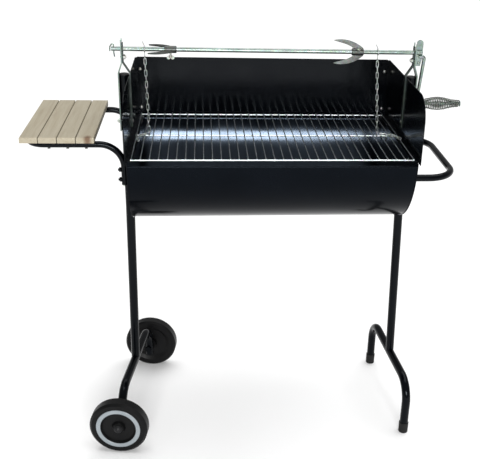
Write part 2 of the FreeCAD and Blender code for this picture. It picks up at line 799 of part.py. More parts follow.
def drill_shelf_tube():
    """Clearance holes for the slat screws, cut once the screws' places are known."""
    tube = [item for item in nodes if item.Label == "shelf_tube"][0]
    shape = tube.Shape.copy()
    shape.Placement = Placement()
    low = float(dim.shelf_top - dim.slat_thick)
    for index in range(4):
        for x, y in slat_screw_places(index):
            shape = shape.cut(Part.makeCylinder(2.0, 60, Vector(x, y, low - 30)))
    tube.Shape = shape
    place(tube)


def make_shelf_bolts(x):
    bolts = []
    for end in (-1, 1):
        for z in RAIL_BOLTS:
            start = (-float(disc_face()), float(dim.rail_half_span) * end, z)
            grip = x + dim.rail_radius - disc_face()
            bolts += bolt_and_nut(start, (-1, 0, 0), grip, 3.0)
    feature_from("shelf_bolts", Part.makeCompound(bolts))


def make_handle():
    """A carry handle: a U tube with a plug in each end, bolted on from inside the drum."""
    start, reach = panel_face() + 0.1, dim.handle_reach
    span, z = dim.grip_half_span, dim.grip_height
    tube = bent_tube([(start, -span, z), (reach, -span, z), (reach, span, z), (start, span, z)],
                     [dim.handle_bend, dim.handle_bend], dim.grip_radius)
    feature_from("carry_handle", tube)
    pieces = []
    for end in (-1, 1):
        centre = Vector(float(start), float(span) * end, float(z))
        heading = Vector(1, 0, 0)
        plug = Part.makeCylinder(float(dim.grip_radius - dim.tube_wall), 22, centre, heading)
        pieces.append(plug.cut(Part.makeCylinder(3.0, 18, centre, heading)))
        head = centre - heading * float(dim.plate + 0.1)
        shank = Part.makeCylinder(3.0, 18, head, heading)
        dome = Part.makeSphere(5.6, head + heading * 2.7)
        dome = dome.cut(Part.makeCylinder(12, 20, head, heading))
        pieces.append(dome.fuse(shank).removeSplitter())
    feature_from("handle_bolts", Part.makeCompound(pieces))


# ---------------------------------------------------------------------------------- the grate


def make_grate():
    """Cross wires welded on three long wires."""
    half = float(dim.wire_pitch * dim.wire_gaps / 2)
    depth = float(dim.grate_half_depth)
    low, high = float(grate_low()), float(cross_wire_height())
    overhang = float(dim.wire_radius) + 0.8
    rails = []
    for y in (-depth + 2 * float(dim.rail_wire_radius), 0.0, depth - 2 * float(dim.rail_wire_radius)):
        ends = (-half - overhang, y, low), (half + overhang, y, low)
        rails.append(rod_between(*ends, dim.rail_wire_radius))
    wires = []
    for index in range(int(float(dim.wire_gaps)) + 1):
        x = -half + index * float(dim.wire_pitch)
        wires.append(rod_between((x, -depth, high), (x, depth, high), dim.wire_radius))
    shape = rails[0].multiFuse(rails[1:] + wires)
    feature_from("cooking_grate", shape)


def chain_link():
    """One stadium-shaped link about the origin, long along X, flat in the XY plane."""
    straight = float(dim.link_inner) / 2 + float(dim.link_wire) - float(dim.link_half_width)
    width = float(dim.link_half_width)
    top = Part.LineSegment(Vector(-straight, width, 0), Vector(straight, width, 0))
    right = Part.Arc(Vector(straight, width, 0), Vector(straight + width, 0, 0), Vector(straight, -width, 0))
    bottom = Part.LineSegment(Vector(straight, -width, 0), Vector(-straight, -width, 0))
    left = Part.Arc(Vector(-straight, -width, 0), Vector(-straight - width, 0, 0),
                    Vector(-straight, width, 0))
    path = Part.Wire([edge.toShape() for edge in (top, right, bottom, left)])
    return swept_round(path, dim.link_wire)


def link_at(centre, heading, roll):
    """A link with its length along heading, rolled about it."""
    link = chain_link()
    turn = Rotation(Vector(1, 0, 0), heading) * Rotation(Vector(1, 0, 0), roll)
    link.Placement = Placement(centre, turn)
    return link


def hung_chain(start, end):
    """Links in line from start to end, alternately crossed, with a small gap at each contact."""
    span = end - start
    pitch = float(dim.link_inner) - 0.3
    count = int(span.Length / pitch)
    heading = span.normalize()
    links = []
    for index in range(count):
        centre = start + heading * (pitch * (index + 0.5))
        links.append(link_at(centre, heading, 90.0 * ((index + 1) % 2)))
    return links, start + heading * (pitch * count)


def chain_ends(side):
    """The first link's top and the last link's bottom contact, in the modelling frame."""
    tops = dim.left_chain_top if side < 0 else dim.right_chain_top
    feet = dim.left_chain_foot if side < 0 else dim.right_chain_foot
    top = Vector(float(tops) * side, 0, float(dim.spit_height) - HOOK_DROP)
    foot = Vector(float(feet) * side, 0, float(cross_wire_height()) + 6.0)
    return top, foot


def make_chains():
    """Two hanging chains, their hooks on the spit rod, and the slack that lies on the grate."""
    hooks = []
    rings = []
    for name, side in SIDES:
        top, foot = chain_ends(side)
        links, last = hung_chain(top, foot)
        feature_from(f"{name}_hanging_chain", Part.makeCompound(links))
        hooks.append(rod_hook(top))
        rings.append(grate_ring(last, side))
        feature_from(f"{name}_slack_chain", Part.makeCompound(slack_links(foot, side)))
    feature_from("chain_hooks", Part.makeCompound(hooks))
    feature_from("grate_rings", Part.makeCompound(rings))


def rod_hook(top):
    """A wire hook: an open loop over the rod with a free end, and an eye for the first link."""
    loop = float(dim.spit_radius) + 0.35 + HOOK_WIRE
    rod = Vector(top.x, 0, float(dim.spit_height))
    rim = [rod + Vector(0, math.cos(math.radians(turn)), math.sin(math.radians(turn))) * loop
           for turn in (-35, 120, 275)]
    over = swept_round(Part.Wire([Part.Arc(*rim).toShape()]), HOOK_WIRE)
    centre = Vector(top.x, 0, top.z + 2.5)
    eye = Part.makeTorus(HOOK_EYE, HOOK_WIRE, centre, Vector(1, 0, 0))
    neck = rod_between(centre + Vector(0, 0, HOOK_EYE), rod - Vector(0, 0, loop), HOOK_WIRE - 0.3)
    crown = rod + Vector(0, 0, loop)
    tail = rod_between(crown, crown + Vector(-5.5, 0, 12), HOOK_WIRE - 0.1)
    return over.multiFuse([neck, tail, eye])


def grate_ring(last, side):
    """A welded wire loop on the grate's middle wire, which holds a chain's last link."""
    base = Vector(last.x, 0, float(grate_low()) + float(dim.rail_wire_radius) - 0.2)
    rise = last.z + RING_WIRE + 0.3 - base.z
    corners = [(-RING_HALF, -1.5), (-RING_HALF, rise), (RING_HALF, rise), (RING_HALF, -1.5)]
    path = bent_line([base + Vector(0, y, z) for y, z in corners], [RING_HALF - 0.05] * 2)
    return swept_round(path, RING_WIRE)


def slack_links(foot, side):
    """Spare links, which lie on the grate outwards from the ring and curl towards the front."""
    pitch = float(dim.link_inner) - SLACK_LOOSE
    height = float(cross_wire_height()) + float(dim.wire_radius) + 3.8
    links = []
    spot = Vector(foot.x + 6.0 * side, -10, height)
    for index, turn in enumerate(LEFT_SLACK if side < 0 else RIGHT_SLACK):
        heading = Vector(math.cos(math.radians(turn)), math.sin(math.radians(turn)), 0)
        links.append(link_at(spot + heading * (pitch / 2), heading, 45.0 + 90.0 * (index % 2)))
        spot = spot + heading * pitch
    return links


# ----------------------------------------------------------------------------------- the spit


def flat_bar(name, profile, width, side, holes):
    """A flat bar bent along a profile in the XZ plane, notched and pointed at its top."""
    body = new_body(name)
    outline = new_sketch(body, "profile", "XZ_Plane")
    draw_outline(outline, [(x * side, z) for x, z in profile])
    pad(body, outline, width, symmetric=True)
    notch = new_sketch(body, "notch", "YZ_Plane")
    gap = dim.spit_radius + dim.running_gap
    tip = dim.post_tip
    half = width / 2
    draw_outline(notch, [(-gap, dim.spit_height), (gap, dim.spit_height), (half - 0.8, tip + 1),
                         (-half + 0.8, tip + 1)])
    pocket_through(body, notch)
    seat = new_sketch(body, "seat", "YZ_Plane")
    draw_circle(seat, (0.0, dim.spit_height), gap)
    pocket_through(body, seat)
    drills = new_sketch(body, "drills", "YZ_Plane")
    for z in holes:
        draw_circle(drills, (0.0, z), HOLE_RADIUS)
    pocket_through(body, drills)
    place(body)


def make_posts():
    """Each end's outer post on the leg, and the inner brace that leans out to meet it."""
    thick, meet, tip = dim.post_thick, dim.meet_face, dim.post_tip
    outer, inner = post_x(), panel_face() - dim.post_thick
    for name, side in SIDES:
        post = [(outer, dim.post_foot), (outer + thick, dim.post_foot), (outer + thick, 1001.0),
                (meet + thick, 1027.0), (meet + thick, tip), (meet, tip), (meet, 1026.0), (outer, 1000.0)]
        flat_bar(f"{name}_spit_post", post, dim.post_width, side, (LEG_BOLT_HIGH, POST_BOLT))
        brace = [(inner, 860.0), (inner + thick, 860.0), (inner + thick, 999.0), (meet, 1025.0),
                 (meet, tip - 8), (meet - thick, tip - 8), (meet - thick, 1026.5), (inner, 1000.5)]
        flat_bar(f"{name}_spit_brace", brace, dim.brace_width, side, (LEG_BOLT_HIGH, POST_BOLT))
    bolts = []
    for side in (-1, 1):
        start = (float(meet + thick) * side, 0, POST_BOLT)
        bolts += bolt_and_nut(start, (-side, 0, 0), 2 * thick, 3.0, head=1.8)
    feature_from("post_bolts", Part.makeCompound(bolts))


def make_spit():
    """The rod, its bent end pin, the crank's plate and bolt, and the cranked arm."""
    axis_z, radius = dim.spit_height, dim.spit_radius
    rod = rod_between((-float(dim.spit_left), 0, 0), (dim.spit_right, 0, 0), radius)
    rod = rod.makeChamfer(0.8, [edge for edge in rod.Edges if edge.Closed])
    pin_x = -float(dim.spit_left) + 6.0
    rod = rod.cut(Part.makeCylinder(1.6, 40, Vector(pin_x, 0, -20)))
    feature_from("spit_rod", rod, z=axis_z)
    pin = bent_line([(pin_x, 0, 8.5), (pin_x, 0, -9.0), (pin_x + 2.0, -4.0, -19.0)], [5.0])
    hook = bent_line([(pin_x, 0, 8.5), (pin_x, 0, 11.5), (pin_x - 5, 0, 11.5), (pin_x - 9.5, 0, 4.0),
                      (pin_x - 9.5, 0, -6.0)], [1.8, 2.4, 4.0])
    shape = swept_round(pin, 1.6).fuse(swept_round(hook, 1.6))
    feature_from("spit_end_pin", shape.removeSplitter(), z=axis_z)
    make_crank(axis_z)


def make_crank(axis_z):
    """A round-topped plate behind the rod's end, with the cranked arm welded to its front."""
    throw, bar = float(dim.crank_throw), float(dim.crank_radius)
    reach, end = float(dim.crank_reach), float(dim.spit_right)
    shoulder = -(float(dim.spit_radius) + bar + 0.2)
    arm = bent_line([(end - 8, 0, shoulder), (end + 6.5, 0, shoulder), (end - 4.0, 0, -throw),
                     (reach, 0, -throw)], [6.5, 15.0])
    washer = Part.makeCylinder(8.0, 1.8, Vector(reach - 2.8, 0, -throw), Vector(1, 0, 0))
    feature_from("crank_arm", swept_round(arm, bar).fuse(washer).removeSplitter(), z=axis_z)
    plate = new_body("crank_plate")
    back = -(dim.crank_radius + PLATE_THICK)
    outline = new_sketch(plate, "outline", "XZ_Plane", back)
    left, right = dim.spit_right - 15, dim.spit_right + 2
    draw_outline(outline, [(left, 23.0), (left, 8.0), (left + 2.5, -6.0), (left + 1.5, -36.0),
                           (right - 4, -36.0), (right, -12.0), (right, 23.0)])
    draw_circle(outline, (left + 7.5, -27.0), 2.5)
    pad(plate, outline, PLATE_THICK)
    dome = new_sketch(plate, "dome", "XZ_Plane", back)
    draw_circle(dome, (left + 8.5, 23.0), 8.5)
    pad(plate, dome, PLATE_THICK)
    groove = new_sketch(plate, "groove", "YZ_Plane")
    draw_circle(groove, (0.0, 0.0), dim.spit_radius)
    pocket_through(plate, groove)
    place(plate, z=axis_z)
    start = (float(left) + 7.5, bar, -27.0)
    feature_from("crank_bolt", Part.makeCompound(bolt_and_nut(start, (0, 1, 0), PLATE_THICK, 2.5, head=1.6)),
                 z=axis_z)


def make_crank_grip():
    """The barrel-shaped coil grip, as a closed solid that turns on the crank's end."""
    start = float(dim.crank_reach) - GRIP_START
    rings = [(start + x, radius) for x, radius in GRIP_RINGS]
    grip = turned(rings, float(dim.crank_radius + dim.running_gap))
    feature_from("crank_grip", grip, z=dim.spit_height - dim.crank_throw)


def make_fork(name, right_end, prong_length, roll, screw_roll):
    """A fork: a collar on the rod, two prongs welded to it, and a thumb screw."""
    length, radius = float(dim.collar_length), float(dim.collar_radius)
    x = float(right_end)
    bore = float(dim.spit_radius + dim.running_gap)
    outline = [(x - length, radius - 1), (x - length + 1, radius), (x - 1, radius), (x, radius - 1)]
    collar = turned(outline, bore)
    along = Rotation(Vector(1, 0, 0), screw_roll).multVec(Vector(0, 0, 1))
    screw_x = x - length / 2
    collar = collar.cut(Part.makeCylinder(2.55, 20, Vector(screw_x, 0, 0), along))
    feature_from(f"{name}_fork_collar", collar, z=dim.spit_height)
    prongs = [prong(x, prong_length, roll + half) for half in (0, 180)]
    feature_from(f"{name}_fork_prongs", Part.makeCompound(prongs), z=dim.spit_height)
    shank = Part.makeCylinder(2.5, 11, Vector(screw_x, 0, 0) + along * (bore + 0.1), along)
    neck = Vector(screw_x, 0, 0) + along * (bore + 11)
    wings = []
    for sign in (-1, 1):
        outward = Vector(sign, 0, 0)
        centre = neck + along * 3.5 + outward * 5.0
        wings.append(Part.makeCylinder(4.6, 2.2, centre - along.cross(outward) * 1.1, along.cross(outward)))
    hub = Part.makeCylinder(4.0, 5.0, neck - along * 1.0, along)
    screw = shank.fuse([hub] + wings)
    feature_from(f"{name}_thumb_screw", screw.removeSplitter(), z=dim.spit_height)


def prong(x, prong_length, roll):
    """One prong: a flat crescent blade, welded on its collar and drawn out to a sharp tip."""
    seat, tip = float(dim.collar_radius) + 0.05, float(dim.prong_spread)
    length = float(prong_length)
    outer = [(x - length, tip), (x - 0.62 * length, tip + 1.5), (x - 0.28 * length, tip - 6), (x, seat)]
    inner = [(x - 0.34 * length, seat), (x - 0.52 * length, seat + 8), (x - 0.72 * length, tip - 7),
             (x - length, tip - 1)]
    edges = []
    for points in (outer, inner):
        curve = Part.BSplineCurve()
        curve.interpolate([Vector(px, 0, pz) for px, pz in points])
        edges.append(curve.toShape())
    edges.insert(1, Part.makeLine(Vector(x, 0, seat), Vector(x - 0.34 * length, 0, seat)))
    edges.append(Part.makeLine(Vector(x - length, 0, tip - 1), Vector(x - length, 0, tip)))
    blade = Part.Face(Part.Wire(edges)).extrude(Vector(0, BLADE_THICK, 0))
    blade.translate(Vector(0, -BLADE_THICK / 2, 0))
    blade.rotate(Vector(0, 0, 0), Vector(1, 0, 0), roll)
    return blade


# --------------------------------------------------------------------------------------- build


def build():
    make_trough()
    for name, side in SIDES:
        make_end_disc(name, side)
        make_side_panel(name, side)
    make_back_shield()
    make_panel_bolts()
    make_leg_plugs_and_bolts()
    make_bar("wheel_bar", -1, WHEEL_BAR_FOOT, axle_holes=True)
    make_bar("foot_bar", 1, FOOT_FLOOR, axle_holes=False)
    make_foot_caps()
    for name, end in ENDS:
        make_wheel(name, end)
        make_axle(name, end)
    make_shelf()
    drill_shelf_tube()
    make_handle()
    make_grate()
    make_chains()
    make_posts()
    make_spit()
    make_crank_grip()
    make_fork("left", -dim.fork_left, dim.left_prong, LEFT_FORK_ROLL, 180)
    make_fork("right", dim.fork_right, dim.right_prong, RIGHT_FORK_ROLL, 60)


def check_and_export():
    doc.recompute()
    for item in doc.Objects:
        if "Invalid" in item.State or "Error" in item.State:
            raise RuntimeError(f"{item.Name} failed: {item.State}")
    os.makedirs("parts", exist_ok=True)
    for piece in nodes:
        if piece.Shape.isNull() or not piece.Shape.isValid():
            raise RuntimeError(f"{piece.Label} has a bad shape")
        piece.Shape.exportStep(f"parts/{piece.Label}.step")


build()
check_and_export()
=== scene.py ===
"""Looks for the barrel charcoal grill: materials, chain links, coil grip and studio."""
import json
import math

import bmesh
import bpy
from mathutils import Matrix, Vector


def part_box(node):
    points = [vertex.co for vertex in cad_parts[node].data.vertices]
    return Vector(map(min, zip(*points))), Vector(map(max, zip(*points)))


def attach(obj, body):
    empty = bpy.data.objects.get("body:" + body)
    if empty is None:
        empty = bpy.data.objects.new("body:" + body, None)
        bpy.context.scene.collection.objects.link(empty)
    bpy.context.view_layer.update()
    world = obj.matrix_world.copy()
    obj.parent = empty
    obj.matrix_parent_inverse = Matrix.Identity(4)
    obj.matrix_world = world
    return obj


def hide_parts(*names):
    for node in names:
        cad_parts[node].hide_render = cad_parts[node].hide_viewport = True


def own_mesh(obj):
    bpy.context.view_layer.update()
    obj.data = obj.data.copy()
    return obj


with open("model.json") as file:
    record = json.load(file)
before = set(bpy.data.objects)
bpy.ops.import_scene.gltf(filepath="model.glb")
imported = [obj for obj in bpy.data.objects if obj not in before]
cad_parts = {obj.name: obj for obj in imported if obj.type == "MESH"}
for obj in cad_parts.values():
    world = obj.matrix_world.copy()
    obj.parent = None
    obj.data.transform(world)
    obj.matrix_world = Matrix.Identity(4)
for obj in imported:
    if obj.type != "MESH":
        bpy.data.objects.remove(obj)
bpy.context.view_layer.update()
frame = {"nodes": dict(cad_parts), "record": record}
scene = bpy.context.scene

# ------------------------------------------------------------------------------------ shaders

# The drum: its axis above the floor, and the radius within which its gloss is full
DRUM_HEIGHT = 0.829
DRUM_INSIDE = 0.2037
GLOSS_STEP = 0.0006

# Specular levels and tints of the enamel
GLOSS_INSIDE = 0.72
GLOSS_OUTSIDE = 0.07
GLOSS_OTHER = 0.11
TINT_DRUM = (0.62, 0.78, 1.0, 1.0)
TINT_OTHER = (0.86, 0.93, 1.0, 1.0)


class Shader:
    """A material whose nodes are made and joined with short calls."""

    def __init__(self, name):
        self.material = bpy.data.materials.new(name)
        self.material.use_nodes = True
        self.tree = self.material.node_tree
        self.bsdf = self.tree.nodes["Principled BSDF"]
        self.coords = self.tree.nodes.new("ShaderNodeTexCoord")

    def join(self, source, target):
        self.tree.links.new(source, target)

    def place(self, scale, shift=(0.0, 0.0, 0.0)):
        """Object coordinates in metres, scaled and shifted."""
        mapping = self.tree.nodes.new("ShaderNodeMapping")
        mapping.inputs["Scale"].default_value = scale
        mapping.inputs["Location"].default_value = shift
        self.join(self.coords.outputs["Object"], mapping.inputs["Vector"])
        return mapping.outputs["Vector"]

    def noise(self, vector, scale, detail=4.0, rough=0.55, distortion=0.0):
        """Soft noise from 0 to 1."""
        node = self.tree.nodes.new("ShaderNodeTexNoise")
        node.inputs["Scale"].default_value = scale
        node.inputs["Detail"].default_value = detail
        node.inputs["Roughness"].default_value = rough
        node.inputs["Distortion"].default_value = distortion
        self.join(vector, node.inputs["Vector"])
        return node.outputs["Fac"]

    def cells(self, vector, scale):
        """Flat patches of random colour."""
        node = self.tree.nodes.new("ShaderNodeTexVoronoi")
        node.inputs["Scale"].default_value = scale
        self.join(vector, node.inputs["Vector"])
        return node.outputs["Color"]

    def ramp(self, value, stops):
        """Colours along a value; stops are (position, colour) pairs."""
        node = self.tree.nodes.new("ShaderNodeValToRGB")
        while len(node.color_ramp.elements) < len(stops):
            node.color_ramp.elements.new(0.5)
        for element, (position, colour) in zip(node.color_ramp.elements, stops):
            element.position = position
            element.color = (*colour, 1.0)
        self.join(value, node.inputs["Fac"])
        return node.outputs["Color"]

    def span(self, value, low, high, start=0.0, end=1.0):
        """A value between start and end, spread over low to high."""
        node = self.tree.nodes.new("ShaderNodeMapRange")
        node.inputs["From Min"].default_value = start
        node.inputs["From Max"].default_value = end
        node.inputs["To Min"].default_value = low
        node.inputs["To Max"].default_value = high
        self.join(value, node.inputs["Value"])
        return node.outputs["Result"]

    def blend(self, factor, first, second, mode="MIX"):
        """Two colours mixed; each argument is a socket or a constant."""
        node = self.tree.nodes.new("ShaderNodeMix")
        node.data_type = "RGBA"
        node.blend_type = mode
        for source, name in ((factor, "Factor"), (first, "A"), (second, "B")):
            sockets = [item for item in node.inputs if item.name == name and item.enabled]
            if isinstance(source, (float, int)):
                sockets[0].default_value = source
            elif isinstance(source, tuple):
                sockets[0].default_value = (*source, 1.0)
            else:
                self.join(source, sockets[0])
        return [item for item in node.outputs if item.enabled][0]

    def bump(self, height, strength, distance, under=None):
        """A normal from a height, on top of another normal if one is given."""
        node = self.tree.nodes.new("ShaderNodeBump")
        node.inputs["Strength"].default_value = strength
        node.inputs["Distance"].default_value = distance
        self.join(height, node.inputs["Height"])
        if under is not None:
            self.join(under, node.inputs["Normal"])
        return node.outputs["Normal"]

    def finish(self, colour=None, rough=None, normal=None, **numbers):
        """The material, with sockets joined and constants set on the shader."""
        if colour is not None:
            self.join(colour, self.bsdf.inputs["Base Color"])
        if rough is not None:
            self.join(rough, self.bsdf.inputs["Roughness"])
        if normal is not None:
            self.join(normal, self.bsdf.inputs["Normal"])
        for name, value in numbers.items():
            socket = self.bsdf.inputs[name.replace("_", " ")]
            if isinstance(value, bpy.types.NodeSocket):
                self.join(value, socket)
            else:
                socket.default_value = value
        return self.material


def enamel(name, drum=False):
    """Gloss black enamel: a faint orange peel, thin dust and softer patches."""
    shader = Shader(name)
    plain = shader.place((1, 1, 1))
    patches = shader.noise(plain, 9.0, 5.0)
    dust = shader.noise(plain, 160.0, 6.0, 0.7)
    colour = shader.ramp(patches, [(0.3, (0.0006, 0.0008, 0.0013)), (0.7, (0.0012, 0.0016, 0.0026))])
    colour = shader.blend(shader.span(dust, 0.0, 0.02, 0.55, 0.8), colour, (0.05, 0.055, 0.06))
    rough = shader.span(patches, 0.11, 0.20, 0.3, 0.7)
    peel = shader.bump(shader.noise(plain, 420.0, 2.0), 0.05, 0.0004)
    waves = shader.bump(shader.noise(plain, 6.0, 2.0), 0.12, 0.004, peel)
    return shader.finish(colour, rough, waves,
                         Specular_IOR_Level=drum_gloss(shader) if drum else GLOSS_OTHER,
                         Specular_Tint=TINT_DRUM if drum else TINT_OTHER)


def drum_gloss(shader):
    """The drum's inside keeps its full gloss, the rest has dulled a little."""
    where = shader.tree.nodes.new("ShaderNodeNewGeometry").outputs["Position"]
    offset = shader.tree.nodes.new("ShaderNodeVectorMath")
    offset.operation = "MULTIPLY_ADD"
    offset.inputs[1].default_value = (0.0, 1.0, 1.0)
    offset.inputs[2].default_value = (0.0, 0.0, -DRUM_HEIGHT)
    shader.join(where, offset.inputs[0])
    length = shader.tree.nodes.new("ShaderNodeVectorMath")
    length.operation = "LENGTH"
    shader.join(offset.outputs["Vector"], length.inputs[0])
    return shader.span(length.outputs["Value"], GLOSS_INSIDE, GLOSS_OUTSIDE,
                       DRUM_INSIDE, DRUM_INSIDE + GLOSS_STEP)


def zinc(name, dark, light, rough_low, rough_high, grain=(1, 1, 1)):
    """Zinc plating: cloudy tone, small crystals and fine handling marks."""
    shader = Shader(name)
    plain = shader.place((1, 1, 1))
    cloud = shader.noise(plain, 34.0, 5.0, 0.6)
    crystal = shader.cells(plain, 260.0)
    colour = shader.ramp(cloud, [(0.28, dark), (0.72, light)])
    colour = shader.blend(0.10, colour, crystal, "OVERLAY")
    marks = shader.noise(shader.place(grain), 320.0, 3.0, 0.7)
    rough = shader.span(marks, rough_low, rough_high, 0.3, 0.7)
    normal = shader.bump(marks, 0.10, 0.0003)
    return shader.finish(colour, rough, normal, Metallic=1.0)


def moulded(name, dark, light, rough_low, rough_high, texture=900.0, strength=0.25, shine=0.5):
    """Moulded plastic or rubber: fine spark texture and a slightly uneven gloss."""
    shader = Shader(name)
    plain = shader.place((1, 1, 1))
    cloud = shader.noise(plain, 22.0, 4.0)
    colour = shader.ramp(cloud, [(0.3, dark), (0.7, light)])
    fine = shader.noise(plain, texture, 3.0, 0.6)
    rough = shader.span(cloud, rough_low, rough_high, 0.3, 0.7)
    normal = shader.bump(fine, strength, 0.0003)
    return shader.finish(colour, rough, normal, Specular_IOR_Level=shine)


def board(index, knots):
    """Pale planed softwood, grained along the slat, with a knot for each (x, y, size)."""
    shader = Shader(f"planed_board_{index}")
    offset = (0.37 * index, 0.53 * index, 0.21 * index)
    long_grain = shader.place((1.0, 0.07, 1.0), offset)
    rings = shader.noise(long_grain, 95.0, 3.0, 0.5, 0.6)
    fibres = shader.noise(shader.place((1.0, 0.02, 1.0), offset), 900.0, 2.0)
    patch = shader.noise(shader.place((1.0, 0.3, 1.0), offset), 12.0, 3.0)
    colour = shader.ramp(rings, [(0.30, (0.31, 0.265, 0.19)), (0.5, (0.36, 0.32, 0.235)),
                                 (0.72, (0.40, 0.36, 0.275))])
    colour = shader.blend(shader.span(patch, 0.0, 0.5, 0.35, 0.75), colour, (0.36, 0.33, 0.255))
    colour = shader.blend(shader.span(fibres, 0.0, 0.16, 0.4, 0.8), colour, (0.27, 0.22, 0.15))
    for x, y, size in knots:
        knot = shader.place((1.0 / size, 0.55 / size, 0.35 / size),
                            (-x / size, -0.55 * y / size, -0.35 * SHELF_TOP / size))
        length = shader.tree.nodes.new("ShaderNodeVectorMath")
        length.operation = "LENGTH"
        shader.join(knot, length.inputs[0])
        mask = shader.span(length.outputs["Value"], 0.85, 0.0, 0.35, 1.1)
        colour = shader.blend(mask, colour, (0.11, 0.05, 0.022))
    rough = shader.span(fibres, 0.50, 0.68, 0.3, 0.7)
    normal = shader.bump(fibres, 0.16, 0.0005, shader.bump(rings, 0.08, 0.0008))
    return shader.finish(colour, rough, normal, Specular_IOR_Level=0.3)


def floor_paint():
    """The plain pale floor of the studio."""
    shader = Shader("studio_floor")
    cloud = shader.noise(shader.place((1, 1, 1)), 1.5, 2.0)
    colour = shader.ramp(cloud, [(0.3, (0.93, 0.93, 0.93)), (0.7, (0.96, 0.96, 0.96))])
    return shader.finish(colour, None, None, Roughness=0.9, Specular_IOR_Level=0.1)


SHELF_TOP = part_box("shelf_slat_1")[1][2]
INNER_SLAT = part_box("shelf_slat_4")
KNOT_X = (INNER_SLAT[0][0] + INNER_SLAT[1][0]) / 2 + 0.006
KNOT_Y = INNER_SLAT[0][1]
KNOT_SIZE = 0.011

MATERIALS = {
    "black_enamel": enamel("gloss_black_enamel"),
    "grate_wire": zinc("grate_plating", (0.36, 0.39, 0.40), (0.62, 0.66, 0.67), 0.22, 0.38),
    "cap_rubber": moulded("foot_rubber", (0.006, 0.006, 0.006), (0.014, 0.014, 0.014),
                          0.55, 0.75, shine=0.2),
    "plug_plastic": moulded("plug_plastic", (0.005, 0.005, 0.006), (0.012, 0.012, 0.013),
                            0.35, 0.5, shine=0.2),
    "wheel_plastic": moulded("wheel_moulding", (0.002, 0.002, 0.0022), (0.005, 0.005, 0.0054),
                             0.34, 0.5, shine=0.14),
    "ring_plastic": moulded("wheel_ring_plastic", (0.23, 0.26, 0.28), (0.28, 0.31, 0.33),
                            0.25, 0.4, texture=600.0, strength=0.08),
    "fork_steel": zinc("fork_dark_steel", (0.03, 0.033, 0.033), (0.105, 0.11, 0.105), 0.34, 0.5),
    "chain_steel": zinc("chain_plating", (0.30, 0.33, 0.32), (0.56, 0.58, 0.56), 0.25, 0.42),
    "spit_zinc": zinc("spit_plating", (0.13, 0.165, 0.15), (0.27, 0.32, 0.295), 0.24, 0.38,
                      (0.05, 1.0, 1.0)),
    "grip_spring": zinc("grip_spring_wire", (0.09, 0.10, 0.09), (0.20, 0.215, 0.195), 0.30, 0.45),
    "strap_zinc": zinc("strap_plating", (0.10, 0.13, 0.115), (0.21, 0.255, 0.23), 0.32, 0.5),
    "fastener_zinc": zinc("fastener_plating", (0.26, 0.28, 0.26), (0.48, 0.49, 0.45), 0.26, 0.42),
}
DRUM_ENAMEL = enamel("drum_black_enamel", drum=True)
# The braces: the same zinc plating as the straps, painted darker all over as painted shade
BRACE_SHADED_ZINC = zinc("brace_plating_painted_shade", (0.03, 0.038, 0.034), (0.075, 0.09, 0.082), 0.4, 0.55)
BOARDS = [board(1, []), board(2, []), board(3, []), board(4, [(KNOT_X, KNOT_Y, KNOT_SIZE)])]


def material_of(node, slot):
    """The node's own material, or else the one of its slot in the record."""
    if node.startswith("shelf_slat"):
        return BOARDS[int(node[-1]) - 1]
    if node == "trough":
        return DRUM_ENAMEL
    # the braces take the darkened strap plating, which is painted shade
    if node.endswith("_spit_brace"):
        return BRACE_SHADED_ZINC
    return MATERIALS[slot]


def dress_cad_nodes():
    """Give every CAD node its material."""
    for entry in frame["record"]["subparts"]:
        node = entry["node"]
        for holder in frame["nodes"][node].material_slots:
            holder.material = material_of(node, entry["material_slot"])


# ------------------------------------------------------------------------------ mesh helpers


def mesh_piece(name, make, material, body):
    """A smooth-shaded mesh object filled by make(bm), riding on a body."""
    mesh = bpy.data.meshes.new(name)
    bm = bmesh.new()
    make(bm)
    bmesh.ops.recalc_face_normals(bm, faces=bm.faces)
    bm.to_mesh(mesh)
    bm.free()
    for polygon in mesh.polygons:
        polygon.use_smooth = True
    piece = bpy.data.objects.new(name, mesh)
    scene.collection.objects.link(piece)
    piece.data.materials.append(material)
    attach(piece, body)
    return piece


def tube(bm, points, radius, closed=False, sides=8):
    """A round tube through points, with capped ends unless it is closed."""
    count = len(points)
    rings = []
    side = None
    for index, point in enumerate(points):
        if closed:
            heading = points[(index + 1) % count] - points[index - 1]
        else:
            heading = points[min(index + 1, count - 1)] - points[max(index - 1, 0)]
        heading.normalize()
        if side is None:
            side = heading.orthogonal().normalized()
        side = (side - heading * side.dot(heading)).normalized()
        other = heading.cross(side)
        ring = []
        for step in range(sides):
            turn = 2 * math.pi * step / sides
            outwards = side * math.cos(turn) + other * math.sin(turn)
            ring.append(bm.verts.new(point + outwards * radius))
        rings.append(ring)
    for index in range(count if closed else count - 1):
        first, second = rings[index], rings[(index + 1) % count]
        for step in range(sides):
            following = (step + 1) % sides
            bm.faces.new((first[step], first[following], second[following], second[step]))
    if not closed:
        bm.faces.new(rings[0])
        bm.faces.new(rings[-1])


# ------------------------------------------------------------------------------------ chains

LINK_INNER = 0.015
LINK_WIRE = 0.00115
LINK_HALF_WIDTH = 0.00275
LINK_PLAY = 0.0003
LINK_END_STEPS = 7


def link_points(centre, heading, across):
    """The centre line of a stadium link, long along heading and wide along across."""
    half = LINK_INNER / 2 + LINK_WIRE - LINK_HALF_WIDTH
    points = []
    for end in (1, -1):
        for step in range(LINK_END_STEPS):
            turn = math.pi * step / (LINK_END_STEPS - 1) - math.pi / 2
            along = end * (half + LINK_HALF_WIDTH * math.cos(turn))
            aside = end * LINK_HALF_WIDTH * math.sin(turn)
            points.append(centre + heading * along + across * aside)
    return points


